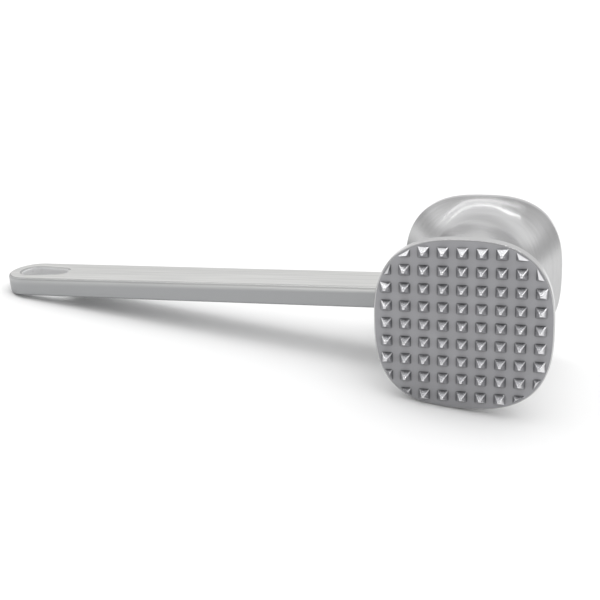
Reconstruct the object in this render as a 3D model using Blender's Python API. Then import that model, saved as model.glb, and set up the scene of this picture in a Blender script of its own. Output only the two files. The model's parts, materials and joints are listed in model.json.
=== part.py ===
# Meat mallet in cast aluminium, lying on its side on a worktop.
# A spool-shaped head carries a toothed face and a smooth face. A flat bar handle is
# seated in a pocket in the head's waist and held there by one cross pin.
# Metres, +Z up. The toothed face looks along -Y and the handle runs towards -X.
# The pieces are drawn with the head's centre at zero and the handle level, and the
# whole mallet is then tipped until the head and the handle's end touch the worktop.

import math

import bmesh
import bpy
from mathutils import Matrix, Vector

MM = 0.001

# Head, across the handle's direction and along the striking direction
FACE_WIDTH = 60.0 * MM
FACE_HEIGHT = 60.4 * MM
HEAD_LENGTH = 63.6 * MM
FACE_SQUARENESS = 2.7           # 2 is an ellipse, more is squarer
FRONT_RIM = 3.6 * MM            # straight edge band behind the toothed face
REAR_RIM = 4.0 * MM             # straight edge band behind the smooth face
FRONT_EDGE_RADIUS = 0.6 * MM
REAR_EDGE_RADIUS = 1.6 * MM
WAIST_SIDE_DEPTH = 12.0 * MM    # how far the waist is drawn in at the handle's side and opposite
WAIST_TOP_DEPTH = 7.0 * MM      # how far the waist is drawn in above and below the handle
WAIST_SQUARENESS = 2.1
WAIST_FULLNESS = 4.2            # 2 is one even arc, more keeps the waist straighter
HEAD_SIDES = 64
NECK_RINGS = 20
EDGE_RINGS = 3

# Teeth of the tenderising face
TOOTH_PITCH = 6.4 * MM
TOOTH_BASE = 3.9 * MM
TOOTH_TIP = 0.7 * MM
TOOTH_HEIGHT = 3.0 * MM
TOOTH_ROOT = 1.0 * MM           # how far each tooth runs into the head
TOOTH_FIELD_MARGIN = 1.0 * MM   # bare land kept outside the outermost teeth
TOOTH_FIELD_DRAFT = 0.8 * MM    # how far a trimmed tooth's outer side leans in over its height

# Handle bar, measured from the head's centre line
HANDLE_REACH = 191.0 * MM
HANDLE_WIDTH_AT_HEAD = 18.4 * MM
HANDLE_WIDTH_AT_END = 21.0 * MM
HANDLE_THICKNESS_AT_HEAD = 8.3 * MM
HANDLE_THICKNESS_AT_END = 7.6 * MM
HANDLE_RISE = 1.2 * MM          # bar's middle above the head's centre line
HANDLE_DROOP = math.radians(1.0)
HANDLE_TOP_RADIUS = 1.4 * MM
HANDLE_UNDER_RADIUS = 2.4 * MM
HANDLE_CROWN = 0.35 * MM        # height of the soft ridge along the top
HANDLE_ROUND_STEPS = 4
HANDLE_STATIONS = 8
HANDLE_END_STEPS = 20

# Pocket in the head and the handle's seated length
TANG_DEPTH = 15.0 * MM          # how far the bar runs into the waist
SEAT_GAP = 0.3 * MM

# Hanging slot, a drop shape with its wide end towards the handle's tip
SLOT_LENGTH = 21.0 * MM
SLOT_WIDE_RADIUS = 5.2 * MM
SLOT_NARROW_RADIUS = 3.6 * MM
SLOT_END_WALL = 5.4 * MM        # metal between the slot and the handle's tip
SLOT_RIM_RADIUS = 1.2 * MM
SLOT_ARC_STEPS = 12
SLOT_RIM_STEPS = 3

# Cross pin, driven in from the underside of the waist
PIN_RADIUS = 2.0 * MM
PIN_FROM_TANG_END = 7.0 * MM    # pin's centre line to the bar's inner end
PIN_BITE = 6.0 * MM             # how far the pin runs into the head above the bar
PIN_RECESS = 0.6 * MM           # pin's lower end below the waist's surface
PIN_CHAMFER = 0.4 * MM
PIN_SIDES = 24

CUT_OVERRUN = 2.0 * MM          # how far a cutter runs past the metal it cuts
SMOOTH_ANGLE = math.radians(25.0)
TILT_STEPS = 60                 # halvings in the search for the resting tilt

HALF_SHARE = 0.5

# Worked out from the sizes above
head_front = -HEAD_LENGTH * HALF_SHARE
head_back = HEAD_LENGTH * HALF_SHARE
face_half_width = FACE_WIDTH * HALF_SHARE
face_half_height = FACE_HEIGHT * HALF_SHARE
waist_half_width = face_half_width - WAIST_SIDE_DEPTH
waist_half_height = face_half_height - WAIST_TOP_DEPTH
tang_end = waist_half_width - TANG_DEPTH        # distance from the head's centre line


def clear_scene():
    for item in list(bpy.data.objects):
        bpy.data.objects.remove(item, do_unlink=True)


def metal(name, colour, roughness):
    material = bpy.data.materials.new(name)
    material.use_nodes = True
    shader = material.node_tree.nodes["Principled BSDF"]
    shader.inputs["Base Color"].default_value = colour
    shader.inputs["Metallic"].default_value = 1.0
    shader.inputs["Roughness"].default_value = roughness
    return material


def new_object(name, shape, material=None):
    bmesh.ops.recalc_face_normals(shape, faces=shape.faces)
    mesh = bpy.data.meshes.new(name)
    shape.to_mesh(mesh)
    shape.free()
    item = bpy.data.objects.new(name, mesh)
    bpy.context.scene.collection.objects.link(item)
    if material:
        mesh.materials.append(material)
    return item


def hide_helper(item):
    item.hide_render = True
    item.display_type = "WIRE"
    item.hide_set(True)


def add_boolean(item, other, operation):
    cut = item.modifiers.new(other.name, "BOOLEAN")
    cut.operation = operation
    cut.solver = "EXACT"
    cut.object = other
    hide_helper(other)


def bridge_rings(shape, rings):
    # Skin a stack of rings that have the same number of points each
    loops = [[shape.verts.new(point) for point in ring] for ring in rings]
    for lower, upper in zip(loops, loops[1:]):
        for here in range(len(lower)):
            after = (here + 1) % len(lower)
            shape.faces.new((lower[here], lower[after], upper[after], upper[here]))
    return loops


def squared_circle(half_width, half_height, squareness, y):
    # A superellipse in the plane across the striking direction
    points = []
    for step in range(HEAD_SIDES):
        angle = math.tau * step / HEAD_SIDES
        across = abs(math.cos(angle) / half_width) ** squareness
        along = abs(math.sin(angle) / half_height) ** squareness
        radius = (across + along) ** (-1.0 / squareness)
        points.append((radius * math.cos(angle), y, radius * math.sin(angle)))
    return points


def head_rings():
    rings = []

    def add(y, side_inset, top_inset, squareness=FACE_SQUARENESS):
        rings.append(squared_circle(face_half_width - side_inset, face_half_height - top_inset, squareness, y))

    # Rounded front edge, from the land to the rim
    for step in range(EDGE_RINGS + 1):
        turn = math.pi * HALF_SHARE * step / EDGE_RINGS
        inset = FRONT_EDGE_RADIUS * (1.0 - math.cos(turn))
        add(head_front + FRONT_EDGE_RADIUS * (1.0 - math.sin(turn)), inset, inset)
    rings.reverse()
    # Waist between the two rims, drawn in along one smooth curve, with more rings near the rims
    neck_front = head_front + FRONT_RIM
    neck_back = head_back - REAR_RIM
    for step in range(NECK_RINGS + 1):
        place_share = (1.0 - math.cos(math.pi * step / NECK_RINGS)) * HALF_SHARE
        from_middle_share = abs(2.0 * place_share - 1.0)
        drawn_share = 1.0 - from_middle_share ** WAIST_FULLNESS
        add(neck_front + (neck_back - neck_front) * place_share,
            WAIST_SIDE_DEPTH * drawn_share, WAIST_TOP_DEPTH * drawn_share,
            FACE_SQUARENESS + (WAIST_SQUARENESS - FACE_SQUARENESS) * drawn_share)
    # Rounded rear edge, from the rim to the smooth face
    for step in range(EDGE_RINGS + 1):
        turn = math.pi * HALF_SHARE * step / EDGE_RINGS
        inset = REAR_EDGE_RADIUS * (1.0 - math.cos(turn))
        add(head_back - REAR_EDGE_RADIUS * (1.0 - math.sin(turn)), inset, inset)
    return rings


def make_head_body(material):
    shape = bmesh.new()
    loops = bridge_rings(shape, head_rings())
    shape.faces.new(loops[0])
    shape.faces.new(loops[-1])
    return new_object("head", shape, material)


def face_radius_share(x, z):
    # How far out a point of the face lies, 1 being on the face's outline
    across = abs(x / face_half_width) ** FACE_SQUARENESS
    along = abs(z / face_half_height) ** FACE_SQUARENESS
    return (across + along) ** (1.0 / FACE_SQUARENESS)


def trim_plane(x, z):
    # Plane that trims a tooth along the outline outside it, leaning in like a mould's draft
    share = face_radius_share(x, z)
    edge_x, edge_z = x / share, z / share
    slope_x = math.copysign(abs(edge_x / face_half_width) ** (FACE_SQUARENESS - 1.0), x) / face_half_width
    slope_z = math.copysign(abs(edge_z / face_half_height) ** (FACE_SQUARENESS - 1.0), z) / face_half_height
    outwards = Vector((slope_x, 0, slope_z)).normalized()
    point = Vector((edge_x, head_front, edge_z)) - outwards * TOOTH_FIELD_MARGIN
    return point, outwards + Vector((0, -TOOTH_FIELD_DRAFT / TOOTH_HEIGHT, 0))


def add_tooth(shape, x, z):
    # One square pyramid with a small flat tip, its root sunk below the land
    tooth = bmesh.new()
    flare = (TOOTH_BASE - TOOTH_TIP) * HALF_SHARE / TOOTH_HEIGHT
    rings = []
    for half, y in ((TOOTH_BASE * HALF_SHARE + flare * TOOTH_ROOT, head_front + TOOTH_ROOT),
                    (TOOTH_TIP * HALF_SHARE, head_front - TOOTH_HEIGHT)):
        rings.append([(x + half * side_x, y, z + half * side_z)
                      for side_x, side_z in ((-1, -1), (1, -1), (1, 1), (-1, 1))])
    loops = bridge_rings(tooth, rings)
    tooth.faces.new(loops[0])
    tooth.faces.new(loops[-1])
    if x or z:
        point, normal = trim_plane(x, z)
        everything = tooth.verts[:] + tooth.edges[:] + tooth.faces[:]
        cut = bmesh.ops.bisect_plane(tooth, geom=everything, plane_co=point, plane_no=normal, clear_outer=True)
        rim = [item for item in cut["geom_cut"] if isinstance(item, bmesh.types.BMEdge)]
        if rim:
            bmesh.ops.edgeloop_fill(tooth, edges=rim)
    piece = bpy.data.meshes.new("tooth")
    tooth.to_mesh(piece)
    tooth.free()
    shape.from_mesh(piece)
    bpy.data.meshes.remove(piece)


def centred_row(length, pitch):
    # Places at one pitch, centred, as many as the length holds
    count = int(length / pitch)
    return [(step - (count - 1) * HALF_SHARE) * pitch for step in range(count)]


def make_teeth(material):
    # A square grid that leaves out the teeth centred off the face
    shape = bmesh.new()
    for x in centred_row(FACE_WIDTH, TOOTH_PITCH):
        for z in centred_row(FACE_HEIGHT, TOOTH_PITCH):
            if face_radius_share(x, z) < 1.0:
                add_tooth(shape, x, z)
    return new_object("teeth", shape, material)


def handle_half_width(distance):
    share = distance / HANDLE_REACH
    width = HANDLE_WIDTH_AT_HEAD + (HANDLE_WIDTH_AT_END - HANDLE_WIDTH_AT_HEAD) * share
    return width * HALF_SHARE


def handle_half_thickness(distance):
    share = distance / HANDLE_REACH
    thickness = HANDLE_THICKNESS_AT_HEAD + (HANDLE_THICKNESS_AT_END - HANDLE_THICKNESS_AT_HEAD) * share
    return thickness * HALF_SHARE


def handle_frame():
    # Turns a point given as (distance from the head, across, up) into the head's frame
    return Matrix.Rotation(-HANDLE_DROOP, 4, "Y") @ Matrix.Translation((0, 0, HANDLE_RISE))


def at_handle(distance, across, up):
    return handle_frame() @ Vector((-distance, across, up))


def handle_outline(inset, start):
    # Plan of the bar as (distance, across): a tapered bar with a fully round tip
    tip_radius = HANDLE_WIDTH_AT_END * HALF_SHARE
    tip_centre = HANDLE_REACH - tip_radius
    plan = []
    for step in range(HANDLE_STATIONS):
        distance = start + (tip_centre - start) * step / HANDLE_STATIONS
        plan.append((distance, handle_half_width(distance) - inset))
    for step in range(HANDLE_END_STEPS + 1):
        turn = math.pi * (HALF_SHARE - step / HANDLE_END_STEPS)
        plan.append((tip_centre + (tip_radius - inset) * math.cos(turn), (tip_radius - inset) * math.sin(turn)))
    for step in range(HANDLE_STATIONS):
        distance = tip_centre - (tip_centre - start) * (step + 1) / HANDLE_STATIONS
        plan.append((distance, inset - handle_half_width(distance)))
    return plan


def handle_levels():
    # Pairs of (inset, height as a signed share of the half thickness, fixed drop)
    levels = []
    for step in range(HANDLE_ROUND_STEPS + 1):
        turn = math.pi * HALF_SHARE * step / HANDLE_ROUND_STEPS
        levels.append((HANDLE_UNDER_RADIUS * (1.0 - math.sin(turn)), -1, HANDLE_UNDER_RADIUS * (1.0 - math.cos(turn))))
    for step in range(HANDLE_ROUND_STEPS + 1):
        turn = math.pi * HALF_SHARE * step / HANDLE_ROUND_STEPS
        levels.append((HANDLE_TOP_RADIUS * (1.0 - math.cos(turn)), 1, HANDLE_TOP_RADIUS * (1.0 - math.sin(turn))))
    return levels


def slot_ends():
    outer = HANDLE_REACH - SLOT_END_WALL
    return outer - SLOT_LENGTH + SLOT_NARROW_RADIUS, outer - SLOT_WIDE_RADIUS


def crown_at(distance):
    # The ridge runs from the head and dies out before the slot
    fade_end = slot_ends()[0] - SLOT_NARROW_RADIUS - SLOT_RIM_RADIUS
    share = (fade_end - distance) / (fade_end * HALF_SHARE)
    return HANDLE_CROWN * min(1.0, max(0.0, share))


def cap_bar(shape, loop, half_count, lift):
    # Close a flat side of the bar with a row of points along its middle
    middle = []
    for here in range(half_count):
        left, right = loop[here], loop[-1 - here]
        centre = (left.co + right.co) * HALF_SHARE
        distance = -(handle_frame().inverted() @ centre).x
        middle.append(shape.verts.new(centre + handle_frame().to_3x3() @ Vector((0, 0, lift(distance)))))
    for here in range(half_count - 1):
        shape.faces.new((loop[here], loop[here + 1], middle[here + 1], middle[here]))
        shape.faces.new((loop[-1 - here], middle[here], middle[here + 1], loop[-2 - here]))
    tip = loop[half_count - 1:len(loop) - half_count + 1]
    shape.faces.new(tip + [middle[-1]])
    return middle


def make_handle(material):
    shape = bmesh.new()
    rings = []
    for inset, side, drop in handle_levels():
        ring = []
        for distance, across in handle_outline(inset, tang_end):
            ring.append(at_handle(distance, across, side * (handle_half_thickness(distance) - drop)))
        rings.append(ring)
    loops = [[shape.verts.new(point) for point in ring] for ring in rings]
    count = len(loops[0])
    for lower, upper in zip(loops, loops[1:]):
        for here in range(count - 1):
            shape.faces.new((lower[here], lower[here + 1], upper[here + 1], upper[here]))
    half_count = HANDLE_STATIONS + 1
    under = cap_bar(shape, loops[0], half_count, lambda distance: 0.0)
    top = cap_bar(shape, loops[-1], half_count, crown_at)
    # Square inner end of the bar
    edge = [loop[0] for loop in loops] + [top[0]] + [loop[-1] for loop in reversed(loops)] + [under[0]]
    shape.faces.new(edge)
    return new_object("handle", shape, material)


def slot_outline(grow):
    # The drop shape: two arcs joined by straight tangents
    narrow_centre, wide_centre = slot_ends()
    wide = SLOT_WIDE_RADIUS + grow
    narrow = SLOT_NARROW_RADIUS + grow
    lean = math.asin((SLOT_WIDE_RADIUS - SLOT_NARROW_RADIUS) / (wide_centre - narrow_centre))
    plan = []
    for step in range(SLOT_ARC_STEPS + 1):
        turn = (math.pi * HALF_SHARE + lean) * (1.0 - 2.0 * step / SLOT_ARC_STEPS)
        plan.append((wide_centre + wide * math.cos(turn), wide * math.sin(turn)))
    for step in range(SLOT_ARC_STEPS + 1):
        turn = math.pi + (math.pi * HALF_SHARE - lean) * (1.0 - 2.0 * step / SLOT_ARC_STEPS)
        plan.append((narrow_centre + narrow * math.cos(turn), narrow * math.sin(turn)))
    return plan


def make_slot_cutter():
    # A drop-shaped plug that flares towards both broad sides, so the rim comes out round
    half = handle_half_thickness(slot_ends()[0])
    levels = [(half + CUT_OVERRUN, SLOT_RIM_RADIUS)]
    for step in range(SLOT_RIM_STEPS + 1):
        turn = math.pi * HALF_SHARE * step / SLOT_RIM_STEPS
        levels.append((half - SLOT_RIM_RADIUS * (1.0 - math.cos(turn)), SLOT_RIM_RADIUS * (1.0 - math.sin(turn))))
    both = levels + [(-height, grow) for height, grow in reversed(levels)]
    shape = bmesh.new()
    rings = [[at_handle(distance, across, height) for distance, across in slot_outline(grow)]
             for height, grow in both]
    loops = bridge_rings(shape, rings)
    shape.faces.new(loops[0])
    shape.faces.new(loops[-1])
    return new_object("slot_cutter", shape)


def make_pocket_cutter():
    # The bar's own section grown by the seat gap, from its inner end to outside the waist
    shape = bmesh.new()
    inner = tang_end - SEAT_GAP
    outer = face_half_width + CUT_OVERRUN
    rings = []
    for distance in (inner, outer):
        half_width = handle_half_width(distance) + SEAT_GAP
        half_thick = handle_half_thickness(distance) + SEAT_GAP
        ring = []
        for side, height, radius, start in (
                (1, 1, HANDLE_TOP_RADIUS, 0), (-1, 1, HANDLE_TOP_RADIUS, 1),
                (-1, -1, HANDLE_UNDER_RADIUS, 2), (1, -1, HANDLE_UNDER_RADIUS, 3)):
            lift = HANDLE_CROWN if height > 0 else 0.0
            for step in range(HANDLE_ROUND_STEPS + 1):
                turn = math.pi * HALF_SHARE * (start + step / HANDLE_ROUND_STEPS)
                across = side * (half_width - radius) + radius * math.cos(turn)
                up = height * (half_thick - radius) + lift + radius * math.sin(turn)
                ring.append(at_handle(distance, across, up))
        rings.append(ring)
    loops = bridge_rings(shape, rings)
    shape.faces.new(loops[0])
    shape.faces.new(loops[-1])
    return new_object("pocket_cutter", shape)


def waist_bottom_at(distance):
    # Height of the waist's underside at this distance from the head's centre line
    inside_share = 1.0 - (distance / waist_half_width) ** WAIST_SQUARENESS
    return -waist_half_height * inside_share ** (1.0 / WAIST_SQUARENESS)


def pin_stack(name, radius, low, high, chamfer, material=None):
    # A round bar with chamfered ends, square to the handle
    distance = tang_end + PIN_FROM_TANG_END
    shape = bmesh.new()
    rings = []
    for size, height in ((radius - chamfer, low), (radius, low + chamfer), (radius, high - chamfer),
                         (radius - chamfer, high)):
        rings.append([at_handle(distance + size * math.cos(math.tau * step / PIN_SIDES),
                                size * math.sin(math.tau * step / PIN_SIDES), height)
                      for step in range(PIN_SIDES)])
    if not chamfer:
        rings = [rings[0], rings[-1]]
    loops = bridge_rings(shape, rings)
    shape.faces.new(loops[0])
    shape.faces.new(loops[-1])
    return new_object(name, shape, material)


def pin_levels():
    # Lower end just inside the waist's underside, upper end above the bar
    distance = tang_end + PIN_FROM_TANG_END
    low = waist_bottom_at(distance + PIN_RADIUS) - HANDLE_RISE + PIN_RECESS
    high = handle_half_thickness(distance) + PIN_BITE
    return low, high


def resting_tilt(head_points, end_points):
    # Angle at which the head's lowest point and the handle's lowest point are level
    low_tilt, high_tilt = 0.0, math.pi * HALF_SHARE * HALF_SHARE
    for _ in range(TILT_STEPS):
        tilt = (low_tilt + high_tilt) * HALF_SHARE
        turn = Matrix.Rotation(-tilt, 4, "Y")
        head_low = min((turn @ point).z for point in head_points)
        end_low = min((turn @ point).z for point in end_points)
        if end_low > head_low:
            low_tilt = tilt
        else:
            high_tilt = tilt
    return tilt


def finished_points(item):
    depsgraph = bpy.context.evaluated_depsgraph_get()
    mesh = item.evaluated_get(depsgraph).to_mesh()
    return [vertex.co.copy() for vertex in mesh.vertices]


def lay_down(pieces, head, handle):
    # Tip the mallet onto the worktop and centre its footprint on the origin
    bpy.context.view_layer.update()
    tilt = resting_tilt(finished_points(head), finished_points(handle))
    turn = Matrix.Rotation(-tilt, 4, "Y")
    points = [turn @ point for item in pieces for point in finished_points(item)]
    lows = [min(point[axis] for point in points) for axis in range(3)]
    highs = [max(point[axis] for point in points) for axis in range(3)]
    shift = Vector((-(lows[0] + highs[0]) * HALF_SHARE, -(lows[1] + highs[1]) * HALF_SHARE, -lows[2]))
    rest = bpy.data.objects.new("mallet", None)
    bpy.context.scene.collection.objects.link(rest)
    rest.matrix_world = Matrix.Translation(shift) @ turn
    return rest


def main():
    clear_scene()
    cast = metal("cast_aluminium", (0.62, 0.62, 0.63, 1.0), 0.38)
    steel = metal("pin_steel", (0.50, 0.50, 0.51, 1.0), 0.30)

    head = make_head_body(cast)
    handle = make_handle(cast)
    low, high = pin_levels()
    pin = pin_stack("cross_pin", PIN_RADIUS, low, high, PIN_CHAMFER, steel)

    add_boolean(head, make_teeth(cast), "UNION")
    add_boolean(head, make_pocket_cutter(), "DIFFERENCE")
    below_head = -face_half_height - CUT_OVERRUN
    head_bore = pin_stack("head_bore_cutter", PIN_RADIUS + SEAT_GAP, below_head, high + SEAT_GAP, 0.0)
    add_boolean(head, head_bore, "DIFFERENCE")
    add_boolean(handle, make_slot_cutter(), "DIFFERENCE")
    half_thick = handle_half_thickness(tang_end)
    handle_bore = pin_stack("handle_bore_cutter", PIN_RADIUS + SEAT_GAP, -half_thick - CUT_OVERRUN,
                            half_thick + HANDLE_CROWN + CUT_OVERRUN, 0.0)
    add_boolean(handle, handle_bore, "DIFFERENCE")

    pieces = [head, handle, pin]
    rest = lay_down(pieces, head, handle)
    for item in bpy.data.objects:
        if item.type == "MESH":
            item.parent = rest
    for item in pieces:
        item.data.shade_smooth()
        item.data.set_sharp_from_angle(angle=SMOOTH_ANGLE)


main()
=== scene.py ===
import json
import math

import bmesh
import bpy
from mathutils import Matrix, Vector


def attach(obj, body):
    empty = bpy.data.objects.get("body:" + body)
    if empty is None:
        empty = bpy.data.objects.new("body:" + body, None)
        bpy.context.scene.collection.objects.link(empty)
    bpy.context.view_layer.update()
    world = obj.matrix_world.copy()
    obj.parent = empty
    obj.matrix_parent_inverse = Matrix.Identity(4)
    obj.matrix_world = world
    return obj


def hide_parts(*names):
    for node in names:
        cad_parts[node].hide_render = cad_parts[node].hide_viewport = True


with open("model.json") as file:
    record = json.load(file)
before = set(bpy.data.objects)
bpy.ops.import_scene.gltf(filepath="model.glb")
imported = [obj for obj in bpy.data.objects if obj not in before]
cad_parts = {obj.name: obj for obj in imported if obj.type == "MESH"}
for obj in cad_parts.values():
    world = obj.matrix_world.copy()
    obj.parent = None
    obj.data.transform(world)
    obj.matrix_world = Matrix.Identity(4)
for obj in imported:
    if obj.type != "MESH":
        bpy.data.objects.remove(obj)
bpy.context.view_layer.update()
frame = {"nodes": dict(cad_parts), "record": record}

mm = 0.001
hair = 0.001 * mm                # points this near count as level with each other
sharpTurn = 1.0                  # radians between two faces whose edge is rounded
smoothAngle = math.radians(25)
reliefDepth = 0.1 * mm           # height of a pattern's relief at full strength

# The mallet lies tipped on the worktop. Pieces are shaped level, with the head's centre at zero,
# the toothed face towards -Y and the handle towards -X, and are then laid down by this place.
layDown = {"tilt": 7.5723}
headLength = 63.6
smoothFace = Vector(next(m["pos_m"] for m in frame["record"]["mounts"] if m["name"] == "smooth_face"))
restPlace = smoothFace - Vector((0, headLength / 2 * mm, 0))


# Small tools for modelling

def deselectAll():
    if bpy.context.object and bpy.context.object.mode != "OBJECT":
        bpy.ops.object.mode_set(mode="OBJECT")
    bpy.ops.object.select_all(action="DESELECT")


def takeUp(piece):
    deselectAll()
    piece.select_set(True)
    bpy.context.view_layer.objects.active = piece
    return piece


def newPiece(name):
    piece = bpy.context.object
    piece.name = name
    piece.data.name = name
    return takeUp(piece)


def pick(piece, kind, test):
    # Select vertices, edges or faces in edit mode by a test on their place
    order = {"VERT": 0, "EDGE": 1, "FACE": 2}[kind]
    bpy.ops.mesh.select_mode(type=kind)
    bpy.ops.mesh.select_all(action="DESELECT")
    shape = bmesh.from_edit_mesh(piece.data)
    things = (shape.verts, shape.edges, shape.faces)[order]
    found = 0
    for thing in things:
        if test(thing):
            thing.select_set(True)
            found += 1
    shape.select_flush_mode()
    bmesh.update_edit_mesh(piece.data)
    return found


def movePoints(piece, place):
    # Put each point of the mesh where place(point) says
    shape = bmesh.new()
    shape.from_mesh(piece.data)
    for vert in shape.verts:
        vert.co = place(vert.co)
    shape.to_mesh(piece.data)
    shape.free()
    piece.data.update()


def applyModifier(piece, kind, **settings):
    takeUp(piece)
    modifier = piece.modifiers.new(kind.title(), kind)
    for key, value in settings.items():
        setattr(modifier, key, value)
    bpy.ops.object.modifier_apply(modifier=modifier.name)


def cutOrJoin(piece, other, operation):
    applyModifier(piece, "BOOLEAN", operation=operation, solver="EXACT", object=other)
    bpy.data.objects.remove(other, do_unlink=True)


def copyOf(piece, name):
    other = piece.copy()
    other.data = piece.data.copy()
    other.name = name
    bpy.context.scene.collection.objects.link(other)
    return other


def outward(piece):
    takeUp(piece)
    bpy.ops.object.mode_set(mode="EDIT")
    bpy.ops.mesh.select_all(action="SELECT")
    bpy.ops.mesh.remove_doubles(threshold=2 * hair)
    bpy.ops.mesh.normals_make_consistent(inside=False)
    bpy.ops.object.mode_set(mode="OBJECT")


def layOnWorktop(piece):
    takeUp(piece)
    turn = Matrix.Rotation(-math.radians(layDown["tilt"]), 4, "Y")
    piece.matrix_world = Matrix.Translation(restPlace) @ turn @ piece.matrix_world
    bpy.ops.object.transform_apply(location=True, rotation=True, scale=True)


# Materials

def colour(code):
    # sRGB hex to linear, with full opacity
    values = []
    for start in (0, 2, 4):
        share = int(code.lstrip("#")[start:start + 2], 16) / 255
        values.append(share / 12.92 if share <= 0.04045 else ((share + 0.055) / 1.055) ** 2.4)
    return (*values, 1.0)


def addNode(tree, kind, settings=None, links=None):
    # One node: settings by input name or attribute, links as {input: (node, output)}
    node = tree.nodes.new(kind)
    for key, value in (settings or {}).items():
        if key in node.inputs:
            node.inputs[key].default_value = value
        else:
            setattr(node, key, value)
    for key, (source, output) in (links or {}).items():
        tree.links.new(source.outputs[output], node.inputs[key])
    return node


def newMaterial(name):
    material = bpy.data.materials.new(name)
    material.use_nodes = True
    tree = material.node_tree
    tree.nodes.clear()
    return material, tree


# The way every pattern is laid: level with the piece, measured from the head's centre
def patternPlace(tree, scale=(1, 1, 1), droop=0, rise=0):
    where = addNode(tree, "ShaderNodeTexCoord")
    turn = -math.radians(layDown["tilt"])
    centre = restPlace + Matrix.Rotation(turn, 3, "Y") @ Vector((0, 0, rise * mm))
    level = addNode(tree, "ShaderNodeMapping", {"vector_type": "TEXTURE", "Location": centre,
                    "Rotation": (0, turn - math.radians(droop), 0)}, {"Vector": (where, "Object")})
    return addNode(tree, "ShaderNodeMapping", {"Scale": scale}, {"Vector": (level, "Vector")})


def metalShader(tree, look, tone, lines, clouds, links=None):
    # A metal whose colour, roughness and relief come from the nodes given
    rough = addNode(tree, "ShaderNodeMapRange", {"To Min": look["roughness"] - look["roughSpread"] / 2,
                    "To Max": look["roughness"] + look["roughSpread"] / 2}, {"Value": (clouds, "Fac")})
    bump = addNode(tree, "ShaderNodeBump", {"Strength": look["bump"], "Distance": reliefDepth},
                   {"Height": (lines, "Fac")})
    shader = addNode(tree, "ShaderNodeBsdfPrincipled", {"Metallic": 1.0},
                     {"Roughness": (rough, "Result"), "Normal": (bump, "Normal"),
                      "Base Color": (tone, "Result"), **(links or {})})
    addNode(tree, "ShaderNodeOutputMaterial", {}, {"Surface": (shader, "BSDF")})
    return shader


def noise(tree, place, detail=3.0, roughness=0.6):
    return addNode(tree, "ShaderNodeTexNoise", {"Scale": 1.0, "Detail": detail, "Roughness": roughness},
                   {"Vector": (place, "Vector")})


def toneBetween(tree, look, factor):
    tone = addNode(tree, "ShaderNodeMix", {"data_type": "RGBA"}, {"Factor": (factor, "Fac")})
    tone.inputs["A"].default_value = colour(look["darkColour"])
    tone.inputs["B"].default_value = colour(look["colour"])
    return tone


def shadedInRoots(tree, look, tone):
    # Painted shade: the tone darkens in the roots and corners, where the surface is closed in
    room = addNode(tree, "ShaderNodeAmbientOcclusion", {"samples": 12, "only_local": True,
                   "Distance": look["rootReach"] * mm})
    share = addNode(tree, "ShaderNodeMapRange", {"interpolation_type": "SMOOTHSTEP",
                    "From Min": look["rootFrom"], "From Max": look["rootTo"]}, {"Value": (room, "AO")})
    mix = addNode(tree, "ShaderNodeMix", {"data_type": "RGBA"}, {"Factor": (share, "Result")})
    mix.inputs["A"].default_value = colour(look["rootShadeColour"])
    tree.links.new(tone.outputs["Result"], mix.inputs["B"])
    return mix


brushedHead = {"colour": "#CACACA", "darkColour": "#B6B6B7", "roughness": 0.23, "roughSpread": 0.06,
               "lineSpacing": 0.45, "lineLength": 14.0, "cloudsPerMetre": 60, "bump": 0.06, "stretch": 0.5}


def brushedHeadMetal():
    # Cast aluminium, belt brushed and then polished: fine lines follow the girth, and highlights run
    # out along them
    look = brushedHead
    material, tree = newMaterial("cast aluminium, belt brushed")
    along, across = 1000 / look["lineLength"], 1000 / look["lineSpacing"]
    lines = noise(tree, patternPlace(tree, (along, across, along)))
    clouds = noise(tree, patternPlace(tree, (look["cloudsPerMetre"],) * 3), 2.0)
    girth = addNode(tree, "ShaderNodeTangent", {"direction_type": "RADIAL", "axis": "Y"})
    shader = metalShader(tree, look, toneBetween(tree, look, lines), lines, clouds,
                         {"Tangent": (girth, "Tangent")})
    shader.inputs["Anisotropic"].default_value = look["stretch"]
    return material


# The land's colour is painted shade: it is set darker than the teeth of the same casting
blastedFaceShaded = {"colour": "#A2A2A5", "darkColour": "#919193", "roughness": 0.42, "roughSpread": 0.06,
               "grain": 0.45, "cloudsPerMetre": 90, "bump": 0.08,
               "rootShadeColour": "#6E6E70", "rootReach": 4.0, "rootFrom": 0.5, "rootTo": 0.97}


def blastedFaceShadedMetal():
    # Cast aluminium as it leaves the mould, shot blasted: an even, slightly bluish satin with a fine grain
    look = blastedFaceShaded
    material, tree = newMaterial("cast aluminium, shot blasted")
    grit = 1000 / look["grain"]
    grain = noise(tree, patternPlace(tree, (grit, grit, grit)), 3.0, 0.65)
    clouds = noise(tree, patternPlace(tree, (look["cloudsPerMetre"],) * 3))
    # More painted shade in the roots between the teeth
    metalShader(tree, look, shadedInRoots(tree, look, toneBetween(tree, look, clouds)), grain, grain)
    return material


# The teeth's colour is painted light: it is set lighter than the land of the same casting
dieTeethLitAndShaded = {"colour": "#E4E4E6", "darkColour": "#D8D8DA", "roughness": 0.24, "roughSpread": 0.05,
            "grain": 0.6, "bump": 0.0,
            "rootShadeColour": "#6A6A6C", "rootReach": 4.0, "rootFrom": 0.58, "rootTo": 0.88}


def dieTeethLitAndShadedMetal():
    # Cast aluminium as the polished die leaves the teeth: smoother than the face, so each side mirrors
    # its own tone
    look = dieTeethLitAndShaded
    material, tree = newMaterial("cast aluminium, die polished")
    grit = 1000 / look["grain"]
    grain = noise(tree, patternPlace(tree, (grit, grit, grit)))
    # Painted shade at the roots of the teeth
    metalShader(tree, look, shadedInRoots(tree, look, toneBetween(tree, look, grain)), grain, grain)
    return material


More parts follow.
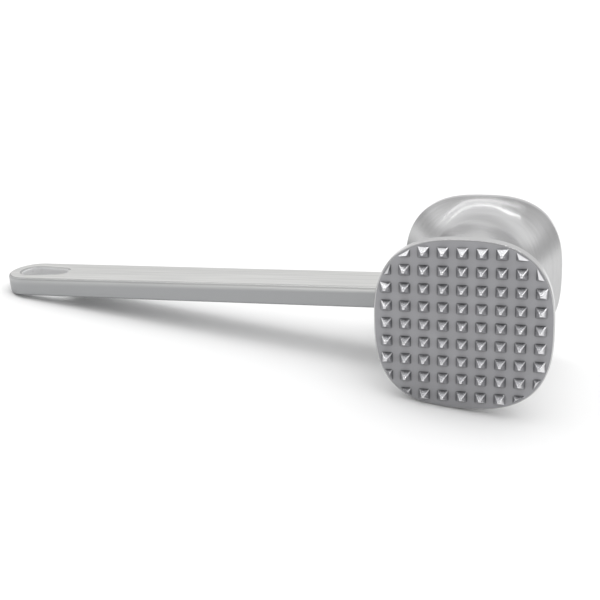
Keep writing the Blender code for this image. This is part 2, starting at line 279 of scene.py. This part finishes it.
groundHandle = {"colour": "#E8E8E6", "darkColour": "#BABAB9", "roughness": 0.34, "roughSpread": 0.05,
                "lineSpacing": 1.1, "lineLength": 55.0, "cloudsPerMetre": (25, 90, 90), "bump": 0.012,
                "castColour": "#A1A2A3", "castRoughness": 0.42, "topFrom": (0.965, 0.985),
                "edgeShadeColour": "#8A8A8A", "edgeFrom": 0.945, "edgeTo": 0.998,
                # Each of these is a value at the tip and one at the head: the first three shape the sides'
                # painted highlight, the last the painted edge shade
                "sideHighlightFrom": (0.10, 0.42), "sideHighlightTo": (1.0, 0.80), "sideHighlightShare": (0.36, 1.0),
                "edgeShare": (0.9, 0.5)}


def groundHandleMetal():
    # Cast aluminium, ground lengthwise on its upper side: long fine streaks there, and the duller cast
    # skin left on the narrow sides and underneath
    look = groundHandle
    material, tree = newMaterial("cast aluminium, ground lengthwise")
    along, across = 1000 / look["lineLength"], 1000 / look["lineSpacing"]
    lines = noise(tree, patternPlace(tree, (along, across, across)))
    clouds = noise(tree, patternPlace(tree, look["cloudsPerMetre"]), 2.0)
    bar = patternPlace(tree, (1, 1, 1), handle["droop"], handle["rise"])
    parts = addNode(tree, "ShaderNodeSeparateXYZ", {}, {"Vector": (bar, "Vector")})

    def alongBar(ends):
        # A value that changes evenly from the tip to the head
        tip, root = ends
        return addNode(tree, "ShaderNodeMapRange", {"From Min": -handle["reach"] * mm, "From Max": 0,
                       "To Min": tip, "To Max": root}, {"Value": (parts, "X")})

    # Height as a share of half the bar's thickness
    taper = alongBar((handle["thickAtEnd"] / 2 * mm, handle["thickAtHead"] / 2 * mm))
    level = addNode(tree, "ShaderNodeMath", {"operation": "DIVIDE"})
    tree.links.new(parts.outputs["Z"], level.inputs[0])
    tree.links.new(taper.outputs["Result"], level.inputs[1])
    # The top is ground all over. The narrow sides take the ground colour at their upper edge as a painted
    # highlight, most of all by the head
    low, high = look["topFrom"]
    top = addNode(tree, "ShaderNodeMapRange", {"From Min": low, "From Max": high}, {"Value": (level, "Value")})
    side = addNode(tree, "ShaderNodeMapRange", {"interpolation_type": "SMOOTHSTEP"},
                   {"Value": (level, "Value"), "From Min": (alongBar(look["sideHighlightFrom"]), "Result"),
                   "From Max": (alongBar(look["sideHighlightTo"]), "Result"),
                   "To Max": (alongBar(look["sideHighlightShare"]), "Result")})
    share = addNode(tree, "ShaderNodeMath", {"operation": "MAXIMUM"})
    tree.links.new(top.outputs["Result"], share.inputs[0])
    tree.links.new(side.outputs["Result"], share.inputs[1])
    skin = addNode(tree, "ShaderNodeMix", {"data_type": "RGBA"}, {"Factor": (share, "Value")})
    skin.inputs["A"].default_value = colour(look["castColour"])
    tree.links.new(toneBetween(tree, look, lines).outputs["Result"], skin.inputs["B"])
    # A fine painted dark line of shade along the upper edges, fainter towards the head
    band = addNode(tree, "ShaderNodeValToRGB", {}, {"Fac": (level, "Value")})
    middle = (look["edgeFrom"] + look["edgeTo"]) / 2
    for place, value in ((look["edgeFrom"], 0), (middle, 1), (look["edgeTo"], 0)):
        stop = band.color_ramp.elements.new(place)
        stop.color = (value, value, value, 1)
    band.color_ramp.elements[0].color = (0, 0, 0, 1)
    band.color_ramp.elements[len(band.color_ramp.elements) - 1].color = (0, 0, 0, 1)
    line = addNode(tree, "ShaderNodeMath", {"operation": "MULTIPLY"})
    tree.links.new(band.outputs["Color"], line.inputs[0])
    tree.links.new(alongBar(look["edgeShare"]).outputs["Result"], line.inputs[1])
    edged = addNode(tree, "ShaderNodeMix", {"data_type": "RGBA"},
                    {"Factor": (line, "Value"), "A": (skin, "Result")})
    edged.inputs["B"].default_value = colour(look["edgeShadeColour"])
    shader = metalShader(tree, look, edged, lines, clouds)
    ground = shader.inputs["Roughness"].links[0].from_node
    rough = addNode(tree, "ShaderNodeMix", {"data_type": "FLOAT", "A": look["castRoughness"]},
                    {"Factor": (share, "Value"), "B": (ground, "Result")})
    tree.links.new(rough.outputs["Result"], shader.inputs["Roughness"])
    return material


# The slot wall's pale colour is painted light, and its root colour is painted shade
slotWall = {"colour": "#EEEEEE", "darkColour": "#E2E2E3", "roughness": 0.65, "roughSpread": 0.06,
            "grain": 0.5, "bump": 0.15,
            "rootShadeColour": "#767677", "rootReach": 9.0, "rootFrom": 0.12, "rootTo": 0.5}


def slotWallMetal():
    # Cast aluminium left as cast inside the slot, a dull skin: its pale colour is painted light, and painted
    # shade darkens it deeper in the slot
    look = slotWall
    material, tree = newMaterial("cast aluminium, as cast")
    grit = 1000 / look["grain"]
    grain = noise(tree, patternPlace(tree, (grit, grit, grit)))
    metalShader(tree, look, shadedInRoots(tree, look, toneBetween(tree, look, grain)), grain, grain)
    return material


groundPin = {"colour": "#A9A8A6", "roughness": 0.28, "roughSpread": 0.1,
             "lineSpacing": 0.2, "lineLength": 10.0}


def groundPinMetal():
    # Stainless steel dowel, centreless ground: darker and slightly warmer than the casting
    look = groundPin
    material, tree = newMaterial("stainless steel, centreless ground")
    around, along = 1000 / look["lineLength"], 1000 / look["lineSpacing"]
    place = patternPlace(tree, (around, around, along))
    lines = addNode(tree, "ShaderNodeTexNoise", {"Scale": 1.0, "Detail": 2.0}, {"Vector": (place, "Vector")})
    rough = addNode(tree, "ShaderNodeMapRange", {"To Min": look["roughness"] - look["roughSpread"] / 2,
                    "To Max": look["roughness"] + look["roughSpread"] / 2}, {"Value": (lines, "Fac")})
    shader = addNode(tree, "ShaderNodeBsdfPrincipled", {"Metallic": 1.0, "Base Color": colour(look["colour"])},
                     {"Roughness": (rough, "Result")})
    addNode(tree, "ShaderNodeOutputMaterial", {}, {"Surface": (shader, "BSDF")})
    return material


# Handle: a flat tapered bar with a round tip, a soft ridge along the top and a drop-shaped slot

handle = {"reach": 190.85, "widthAtHead": 18.4, "widthAtEnd": 21.0, "thickAtHead": 8.3, "thickAtEnd": 7.6,
          "rise": 1.2, "droop": 1.0, "topRadius": 1.1, "underRadius": 1.0, "crown": 0.35,
          "topSteps": 6, "underSteps": 8, "underLift": 0.25, "liftFrom": 120.0,
          "tangEnd": 3.0, "sides": 96, "stations": 24,
          "slotLength": 20.4, "slotWide": 5.2, "slotNarrow": 3.6, "slotEndWall": 5.4, "slotRim": 1.2,
          "slotRimSteps": 5, "slotMargin": 1.0, "slotCutter": 20.0, "slotWallSlope": 0.6}


def handleHalfWidth(distance):
    share = distance / handle["reach"]
    return (handle["widthAtHead"] + (handle["widthAtEnd"] - handle["widthAtHead"]) * share) / 2


def handleHalfThick(distance):
    share = distance / handle["reach"]
    return (handle["thickAtHead"] + (handle["thickAtEnd"] - handle["thickAtHead"]) * share) / 2


def underDepth(distance):
    # The underside rises a hair towards the tip, so that the tighter edge still clears the worktop
    size = handle
    rising = max(0, distance - size["liftFrom"]) / (size["reach"] - size["liftFrom"])
    return handleHalfThick(distance) - size["underLift"] * rising


def barBlank(name):
    # The bar's plan drawn from its round tip, pulled up, and then set to its thickness
    size = handle
    drawn = 2 * mm
    tip = size["widthAtEnd"] / 2
    centre = size["reach"] - tip
    bpy.ops.mesh.primitive_circle_add(vertices=size["sides"], radius=tip * mm, fill_type="NGON",
                                      location=(-centre * mm, 0, 0))
    bar = newPiece(name)
    bpy.ops.object.transform_apply(location=True, rotation=True, scale=True)
    bpy.ops.object.mode_set(mode="EDIT")
    bpy.ops.mesh.select_all(action="SELECT")
    bpy.ops.mesh.bisect(plane_co=(-centre * mm, 0, 0), plane_no=(1, 0, 0), clear_outer=True, use_fill=False)
    length = centre - size["tangEnd"]
    for step in range(size["stations"]):
        here = centre - length * step / size["stations"]
        there = centre - length * (step + 1) / size["stations"]
        pick(bar, "EDGE", lambda edge: all(abs(v.co.x + here * mm) < hair for v in edge.verts))
        bpy.ops.mesh.extrude_region_move(TRANSFORM_OT_translate={"value": ((here - there) * mm, 0, 0)})
        ratio = handleHalfWidth(there) / (handleHalfWidth(here) if step else tip)
        bpy.ops.transform.resize(value=(1, ratio, 1), center_override=(-there * mm, 0, 0))
    bpy.ops.mesh.select_all(action="SELECT")
    bpy.ops.mesh.extrude_region_move(TRANSFORM_OT_translate={"value": (0, 0, drawn)})
    bpy.ops.object.mode_set(mode="OBJECT")

    def toThickness(point):
        distance = -point.x / mm
        if point.z > drawn / 2:
            return Vector((point.x, point.y, handleHalfThick(distance) * mm))
        return Vector((point.x, point.y, -underDepth(distance) * mm))

    movePoints(bar, toThickness)
    outward(bar)
    return bar


def slotEnds():
    outer = handle["reach"] - handle["slotEndWall"]
    return outer - handle["slotLength"] + handle["slotNarrow"], outer - handle["slotWide"]


def slotPlug():
    # A drop: a circle whose head side is drawn off and made smaller
    size = handle
    narrowAt, wideAt = slotEnds()
    bpy.ops.mesh.primitive_cylinder_add(vertices=size["sides"], radius=size["slotWide"] * mm,
                                        depth=size["slotCutter"] * mm, location=(-wideAt * mm, 0, 0))
    plug = newPiece("slot plug")
    bpy.ops.object.transform_apply(location=True, rotation=True, scale=True)
    lean = math.asin((size["slotWide"] - size["slotNarrow"]) / (wideAt - narrowAt))
    bpy.ops.object.mode_set(mode="EDIT")
    pick(plug, "VERT", lambda v: v.co.x + wideAt * mm > size["slotWide"] * mm * (math.sin(lean) - 0.01))
    bpy.ops.transform.translate(value=((wideAt - narrowAt) * mm, 0, 0))
    ratio = size["slotNarrow"] / size["slotWide"]
    bpy.ops.transform.resize(value=(ratio, ratio, 1), center_override=(-narrowAt * mm, 0, 0))
    bpy.ops.object.mode_set(mode="OBJECT")
    return plug


def inSlot(point):
    # In the slot or on the narrow margin round it
    size = handle
    margin = size["slotMargin"]
    narrowAt = slotEnds()[0] - size["slotNarrow"] - margin
    wideEnd = size["reach"] - size["slotEndWall"] + margin
    return narrowAt * mm < -point.x < wideEnd * mm and abs(point.y) < (size["slotWide"] + margin) * mm


def onBarTop(edge):
    return all(abs(v.co.z - handleHalfThick(-v.co.x / mm) * mm) < hair for v in edge.verts)


def onBarUnder(edge):
    return all(abs(v.co.z + underDepth(-v.co.x / mm) * mm) < hair for v in edge.verts)


def makeHandle():
    size = handle
    bar = barBlank("handle_bar")
    tangEnd = size["tangEnd"] * mm
    # Rounded long edges, above and underneath
    for where, radius, steps in ((onBarTop, size["topRadius"], size["topSteps"]),
                                 (onBarUnder, size["underRadius"], size["underSteps"])):
        bpy.ops.object.mode_set(mode="EDIT")
        pick(bar, "EDGE", lambda edge: where(edge) and len(edge.link_faces) == 2
             and edge.calc_face_angle() > sharpTurn and any(v.co.x < -tangEnd - mm for v in edge.verts))
        bpy.ops.mesh.bevel(offset=radius * mm, segments=steps, profile=0.5)
        bpy.ops.object.mode_set(mode="OBJECT")
    # The ridge: a middle line along the top, lifted, which dies out before the slot
    bpy.ops.object.mode_set(mode="EDIT")
    bpy.ops.mesh.select_all(action="SELECT")
    bpy.ops.mesh.bisect(plane_co=(0, 0, 0), plane_no=(0, 1, 0))
    bpy.ops.object.mode_set(mode="OBJECT")
    fadeEnd = slotEnds()[0] - size["slotNarrow"] - size["slotRim"]

    def lifted(point):
        distance = -point.x / mm
        half = handleHalfWidth(min(distance, size["reach"])) - size["topRadius"]
        if point.z < (handleHalfThick(distance) - 0.01) * mm:
            return point
        along = min(1, max(0, (fadeEnd - distance) / (fadeEnd / 2)))
        across = max(0, 1 - abs(point.y / mm) / half)
        return Vector((point.x, point.y, point.z + size["crown"] * mm * along * across))

    movePoints(bar, lifted)
    cutOrJoin(bar, slotPlug(), "DIFFERENCE")
    # Round the slot's rim on both broad sides
    bpy.ops.object.mode_set(mode="EDIT")
    pick(bar, "EDGE", lambda edge: (onBarTop(edge) or onBarUnder(edge)) and edge.calc_face_angle(0) > sharpTurn
         and all(inSlot(v.co) for v in edge.verts))
    bpy.ops.mesh.bevel(offset=size["slotRim"] * mm, segments=size["slotRimSteps"], profile=0.5)
    bpy.ops.object.mode_set(mode="OBJECT")
    for face in bar.data.polygons:
        if abs(face.normal.z) < size["slotWallSlope"] and inSlot(face.center):
            face.material_index = 1
    droop = Matrix.Rotation(-math.radians(size["droop"]), 4, "Y")
    bar.matrix_world = droop @ Matrix.Translation((0, 0, size["rise"] * mm))
    takeUp(bar)
    bpy.ops.object.transform_apply(location=True, rotation=True, scale=True)
    outward(bar)
    layOnWorktop(bar)
    bpy.ops.object.shade_smooth_by_angle(angle=smoothAngle)
    return bar


handleBar = makeHandle()
print("handle", len(handleBar.data.polygons), "faces")


# Head: a spool with a toothed face and a smooth face

head = {"width": 60.0, "height": 60.4, "length": headLength, "squareness": 2.7,
        "frontRim": 3.6, "rearRim": 4.0, "frontEdge": 0.6, "rearEdge": 1.6, "frontSteps": 5, "rearSteps": 6,
        "waistSide": 12.0, "waistTop": 7.0, "waistSquareness": 2.1, "fullness": 4.2,
        "sides": 192, "rings": 72,
        "seatGap": 0.3, "pinAt": 10.0, "boreRadius": 2.3, "boreTop": 10.4, "boreDepth": 50.0, "boreSides": 48,
        "landBand": 0.05}
tooth = {"pitch": 6.4, "base": 3.9, "tip": 0.7, "height": 3.0, "root": 1.0, "margin": 1.0, "draft": 2.0,
         "leastTrim": 0.3, "ridge": 0.28, "ridgeSteps": 3}


def spoolPoint(angle, sideInset, topInset, squareness):
    across = abs(math.cos(angle) / (head["width"] / 2 - sideInset)) ** squareness
    along = abs(math.sin(angle) / (head["height"] / 2 - topInset)) ** squareness
    radius = (across + along) ** (-1 / squareness)
    return radius * math.cos(angle), radius * math.sin(angle)


def makeSpool():
    # A drum cut into rings along its length, each ring then drawn in by the waist's curve
    size = head
    bpy.ops.mesh.primitive_cylinder_add(vertices=size["sides"], radius=size["width"] / 2 * mm,
                                        depth=size["length"] * mm, rotation=(math.radians(90), 0, 0))
    spool = newPiece("mallet_head")
    bpy.ops.object.transform_apply(location=True, rotation=True, scale=True)
    bpy.ops.object.mode_set(mode="EDIT")
    pick(spool, "EDGE", lambda edge: abs(edge.verts[0].co.y - edge.verts[1].co.y) > mm)
    bpy.ops.mesh.subdivide(number_cuts=size["rings"] + 1)
    bpy.ops.object.mode_set(mode="OBJECT")
    half = size["length"] / 2
    neckFront, neckBack = -half + size["frontRim"], half - size["rearRim"]
    step = size["length"] / (size["rings"] + 2)

    def shaped(point):
        angle = math.atan2(point.z, point.x)
        ring = round((point.y / mm + half) / step)
        if ring in (0, size["rings"] + 2):
            x, z = spoolPoint(angle, 0, 0, size["squareness"])
            return Vector((x * mm, point.y, z * mm))
        place = (1 - math.cos(math.pi * (ring - 1) / size["rings"])) / 2
        drawn = 1 - abs(2 * place - 1) ** size["fullness"]
        y = neckFront + (neckBack - neckFront) * place
        x, z = spoolPoint(angle, size["waistSide"] * drawn, size["waistTop"] * drawn,
                          size["squareness"] + (size["waistSquareness"] - size["squareness"]) * drawn)
        return Vector((x * mm, y * mm, z * mm))

    movePoints(spool, shaped)
    takeUp(spool)
    for side, radius, steps in ((-1, size["frontEdge"], size["frontSteps"]),
                                (1, size["rearEdge"], size["rearSteps"])):
        bpy.ops.object.mode_set(mode="EDIT")
        pick(spool, "EDGE", lambda edge: all(abs(v.co.y - side * half * mm) < hair for v in edge.verts))
        bpy.ops.mesh.bevel(offset=radius * mm, segments=steps, profile=0.5)
        bpy.ops.object.mode_set(mode="OBJECT")
    return spool


def faceShare(x, z):
    across = abs(x / (head["width"] / 2)) ** head["squareness"]
    along = abs(z / (head["height"] / 2)) ** head["squareness"]
    return (across + along) ** (1 / head["squareness"])


def toothBlank():
    # One square pyramid with a small flat tip and softened ridges, its root in the head
    size = tooth
    flare = (size["base"] - size["tip"]) / 2 / size["height"]
    deep = size["base"] / 2 + flare * size["root"]
    middle = -head["length"] / 2 + (size["root"] - size["height"]) / 2
    bpy.ops.mesh.primitive_cone_add(vertices=4, radius1=deep * math.sqrt(2) * mm,
                                    radius2=size["tip"] / 2 * math.sqrt(2) * mm,
                                    depth=(size["height"] + size["root"]) * mm,
                                    rotation=(0, 0, math.radians(45)))
    blank = newPiece("tooth")
    bpy.ops.object.transform_apply(location=True, rotation=True, scale=True)
    blank.matrix_world = Matrix.Translation((0, middle * mm, 0)) @ Matrix.Rotation(math.radians(90), 4, "X")
    bpy.ops.object.transform_apply(location=True, rotation=True, scale=True)
    root = -head["length"] / 2 + size["root"]
    bpy.ops.object.mode_set(mode="EDIT")
    pick(blank, "EDGE", lambda edge: not all(abs(v.co.y - root * mm) < hair for v in edge.verts))
    bpy.ops.mesh.bevel(offset=size["ridge"] * mm, segments=size["ridgeSteps"], profile=0.5)
    bpy.ops.object.mode_set(mode="OBJECT")
    return blank


def trimTooth(piece, x, z):
    # Trim an outer tooth along the face's outline, leaning in like a mould's draft
    share = faceShare(x, z)
    edgeX, edgeZ = x / share, z / share
    power = head["squareness"] - 1
    slopeX = math.copysign(abs(edgeX / (head["width"] / 2)) ** power, x) / (head["width"] / 2)
    slopeZ = math.copysign(abs(edgeZ / (head["height"] / 2)) ** power, z) / (head["height"] / 2)
    out = Vector((slopeX, 0, slopeZ)).normalized()
    point = Vector((edgeX, -head["length"] / 2, edgeZ)) - out * tooth["margin"]
    corner = Vector((x + math.copysign(tooth["base"] / 2, x), point.y,
                     z + math.copysign(tooth["base"] / 2, z)))
    if (corner - point).dot(out) < tooth["leastTrim"]:
        return
    normal = out + Vector((0, -tooth["draft"] / tooth["height"], 0))
    takeUp(piece)
    bpy.ops.object.mode_set(mode="EDIT")
    bpy.ops.mesh.select_all(action="SELECT")
    bpy.ops.mesh.bisect(plane_co=point * mm, plane_no=normal, use_fill=True, clear_outer=True)
    bpy.ops.object.mode_set(mode="OBJECT")


def makeTeeth():
    blank = toothBlank()
    count = int(head["width"] / tooth["pitch"])
    row = [(step - (count - 1) / 2) * tooth["pitch"] for step in range(count)]
    teeth = []
    for x in row:
        for z in row:
            if faceShare(x, z) < 1:
                one = copyOf(blank, "tooth copy")
                one.data.transform(Matrix.Translation((x * mm, 0, z * mm)))
                if x or z:
                    trimTooth(one, x, z)
                teeth.append(one)
    bpy.data.objects.remove(blank, do_unlink=True)
    deselectAll()
    for one in teeth:
        one.select_set(True)
    bpy.context.view_layer.objects.active = teeth[0]
    bpy.ops.object.join()
    return bpy.context.object


def setAlongBar(piece):
    # From the bar's own frame to the head's: it sits a little above the middle and droops to its tip
    turn = Matrix.Rotation(-math.radians(handle["droop"]), 4, "Y")
    piece.matrix_world = turn @ Matrix.Translation((0, 0, handle["rise"] * mm)) @ piece.matrix_world
    takeUp(piece)
    bpy.ops.object.transform_apply(location=True, rotation=True, scale=True)
    return piece


def pocketPlug():
    # The bar's own shape, a hair larger all round, up to its seat in the waist
    plug = barBlank("pocket plug")
    gap = head["seatGap"] * mm
    seat = -handle["tangEnd"] * mm

    def grown(point):
        along = gap if point.x > seat - 0.01 * mm else 0
        return point + Vector((along, math.copysign(gap, point.y), math.copysign(gap, point.z)))

    movePoints(plug, grown)
    return setAlongBar(plug)


def borePlug():
    # The pin's bore, from under the head up through the bar's inner end
    middle = head["boreTop"] - head["boreDepth"] / 2
    bpy.ops.mesh.primitive_cylinder_add(vertices=head["boreSides"], radius=head["boreRadius"] * mm,
                                        depth=head["boreDepth"] * mm,
                                        location=(-head["pinAt"] * mm, 0, middle * mm))
    return setAlongBar(newPiece("bore plug"))


def makeHead():
    spool = makeSpool()
    cutOrJoin(spool, makeTeeth(), "UNION")
    cutOrJoin(spool, pocketPlug(), "DIFFERENCE")
    cutOrJoin(spool, borePlug(), "DIFFERENCE")
    outward(spool)
    layOnWorktop(spool)
    bpy.ops.object.shade_smooth_by_angle(angle=smoothAngle)
    applyModifier(spool, "WEIGHTED_NORMAL", keep_sharp=True)
    return spool


malletHead = makeHead()
print("head", len(malletHead.data.polygons), "faces")


# Finishes

# The head is brushed, its land between the teeth is blasted, and what stands out in front of that is teeth
# The land's darker colour and the teeth's lighter colour are painted shade and painted light on one casting
brushed, blasted, ground, steel = brushedHeadMetal(), blastedFaceShadedMetal(), groundHandleMetal(), groundPinMetal()
malletHead.data.materials.append(brushed)
malletHead.data.materials.append(blasted)
malletHead.data.materials.append(dieTeethLitAndShadedMetal())
landPlace = restPlace.y - head["length"] / 2 * mm
for face in malletHead.data.polygons:
    if face.center.y < landPlace - head["landBand"] * mm:
        face.material_index = 2
    elif face.center.y < landPlace + head["landBand"] * mm:
        face.material_index = 1
handleBar.data.materials.append(ground)
handleBar.data.materials.append(slotWallMetal())
frame["nodes"]["cross_pin"].data.materials.clear()
frame["nodes"]["cross_pin"].data.materials.append(steel)
for piece, node in ((malletHead, "head"), (handleBar, "handle")):
    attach(piece, "root")
    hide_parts(node)


# Studio: white paper, a light room with a dimmer front, a soft panel, and two bent lines of tubes overhead

studio = {"floorColour": "#F4F4F4", "floorRoughness": 0.9, "floorSize": 6,
          "glowFrom": 0.16, "glowTo": 0.7, "farGlow": 0.32,
          "back": 0.85, "backHigh": 1.10, "gap": 0.88, "top": 1.12, "overhead": 0.88, "front": 0.62,
          "sides": 0.62, "highSides": 1.25, "sidesRise": (0.18, 0.42),
          "panelPlace": (0.10, -0.22, 0.96), "panelSize": (1.2, 1.0), "panelPower": 3.4,
          # Each tube: start, end and share of the power, seen from above in metres
          "tubeHeight": 0.9, "tubeWidth": 0.012, "tubePower": 0.25,
          "tubes": (((-1.5, 0.03), (0.0, -0.11), 1.0), ((0.0, -0.11), (0.42, -0.45), 1.0),
                    ((-1.4, 0.58), (-0.3, 0.09), 1.0), ((-0.3, 0.09), (0.2, 0.05), 1.2),
                    ((0.2, 0.05), (0.58, -0.2), 2.2))}


def makeFloor():
    bpy.ops.mesh.primitive_plane_add(size=studio["floorSize"])
    floor = newPiece("worktop")
    material, tree = newMaterial("paper, matt white")
    paper = addNode(tree, "ShaderNodeBsdfPrincipled", {"Base Color": colour(studio["floorColour"]),
                    "Roughness": studio["floorRoughness"], "Specular IOR Level": 0.2})
    # Round the mallet the paper only takes light. Further off it glows where it is seen, as lit paper does
    where = addNode(tree, "ShaderNodeTexCoord")
    away = addNode(tree, "ShaderNodeVectorMath", {"operation": "LENGTH"}, {"Vector": (where, "Object")})
    far = addNode(tree, "ShaderNodeMapRange", {"interpolation_type": "SMOOTHSTEP",
                  "From Min": studio["glowFrom"], "From Max": studio["glowTo"],
                  "To Max": studio["farGlow"]}, {"Value": (away, "Value")})
    path = addNode(tree, "ShaderNodeLightPath")
    seen = path.outputs["Is Camera Ray"]
    for kind in ("Is Glossy Ray", "Is Transmission Ray"):
        either = addNode(tree, "ShaderNodeMath", {"operation": "MAXIMUM"})
        tree.links.new(seen, either.inputs[0])
        tree.links.new(path.outputs[kind], either.inputs[1])
        seen = either.outputs["Value"]
    level = addNode(tree, "ShaderNodeMath", {"operation": "MULTIPLY"})
    tree.links.new(seen, level.inputs[0])
    tree.links.new(far.outputs["Result"], level.inputs[1])
    glow = addNode(tree, "ShaderNodeEmission", {}, {"Strength": (level, "Value")})
    both = addNode(tree, "ShaderNodeAddShader")
    tree.links.new(paper.outputs["BSDF"], both.inputs[0])
    tree.links.new(glow.outputs["Emission"], both.inputs[1])
    addNode(tree, "ShaderNodeOutputMaterial", {}, {"Surface": (both, "Shader")})
    floor.data.materials.append(material)


def makeWorld():
    world = bpy.data.worlds.new("studio")
    bpy.context.scene.world = world
    world.use_nodes = True
    tree = world.node_tree
    tree.nodes.clear()
    where = addNode(tree, "ShaderNodeTexCoord")
    parts = addNode(tree, "ShaderNodeSeparateXYZ", {}, {"Vector": (where, "Generated")})
    # Turn round the X axis from the back horizon (0) over the top (0.5) to the front horizon (1)
    turn = addNode(tree, "ShaderNodeMath", {"operation": "ARCTAN2"})
    tree.links.new(parts.outputs["Z"], turn.inputs[0])
    tree.links.new(parts.outputs["Y"], turn.inputs[1])
    share = addNode(tree, "ShaderNodeMath", {"operation": "DIVIDE"})
    tree.links.new(turn.outputs[0], share.inputs[0])
    share.inputs[1].default_value = math.pi
    ramp = addNode(tree, "ShaderNodeValToRGB", {}, {"Fac": (share, "Value")})
    stops = ((0.0, studio["back"]), (0.07, studio["back"]), (0.14, studio["backHigh"]), (0.20, studio["gap"]),
             (0.27, studio["gap"]), (0.36, studio["top"]), (0.46, studio["top"]), (0.54, studio["overhead"]),
             (0.60, studio["front"]), (1.0, studio["front"]))
    while len(ramp.color_ramp.elements) < len(stops):
        ramp.color_ramp.elements.new(0.5)
    for element, (place, value) in zip(ramp.color_ramp.elements, stops):
        element.position = place
        element.color = (value, value, value, 1)
    across = addNode(tree, "ShaderNodeMath", {"operation": "MULTIPLY"})
    tree.links.new(parts.outputs["X"], across.inputs[0])
    tree.links.new(parts.outputs["X"], across.inputs[1])
    walls = addNode(tree, "ShaderNodeMix", {"data_type": "RGBA"}, {"Factor": (across, "Value")})
    tree.links.new(ramp.outputs["Color"], walls.inputs["A"])
    # The side walls are dim low down and bright from half height up
    low, high = studio["sidesRise"]
    rising = addNode(tree, "ShaderNodeMapRange", {"interpolation_type": "SMOOTHSTEP", "From Min": low,
                     "From Max": high, "To Min": studio["sides"], "To Max": studio["highSides"]},
                     {"Value": (parts, "Z")})
    tree.links.new(rising.outputs["Result"], walls.inputs["B"])
    room = addNode(tree, "ShaderNodeBackground", {}, {"Color": (walls, "Result")})
    white = addNode(tree, "ShaderNodeBackground", {"Color": (1, 1, 1, 1)})
    path = addNode(tree, "ShaderNodeLightPath")
    mix = addNode(tree, "ShaderNodeMixShader", {}, {"Fac": (path, "Is Camera Ray")})
    tree.links.new(room.outputs[0], mix.inputs[1])
    tree.links.new(white.outputs[0], mix.inputs[2])
    addNode(tree, "ShaderNodeOutputWorld", {}, {"Surface": (mix, "Shader")})


def addLamp(name, place, size, power):
    bpy.ops.object.light_add(type="AREA", location=place)
    lamp = bpy.context.object
    lamp.name = name
    lamp.data.shape = "RECTANGLE"
    lamp.data.size, lamp.data.size_y = size
    lamp.data.energy = power
    return lamp


makeFloor()
makeWorld()
panel = addLamp("soft panel", studio["panelPlace"], studio["panelSize"], studio["panelPower"])
panel.visible_glossy = False   # it lights the paper, and the metal shows the room and the tubes
for number, (start, end, share) in enumerate(studio["tubes"], 1):
    line = Vector(end) - Vector(start)
    middle = (Vector(start) + Vector(end)) / 2
    tube = addLamp("tube " + str(number), (middle.x, middle.y, studio["tubeHeight"]),
                   (line.length, studio["tubeWidth"]), studio["tubePower"] * line.length * share)
    tube.rotation_euler = (0, 0, math.atan2(line.y, line.x))

view = {"place": (0.10242, -0.3344, 0.15389), "turn": (68.3896, -4.459, 16.3935),
        "lens": 58.308, "sensor": 36}
bpy.ops.object.camera_add(location=view["place"], rotation=[math.radians(turn) for turn in view["turn"]])
camera = bpy.context.object
camera.data.lens = view["lens"]
camera.data.sensor_width = view["sensor"]
bpy.context.scene.camera = camera
bpy.context.scene.view_settings.view_transform = "Standard"
print("studio", len(studio["tubes"]), "tubes")
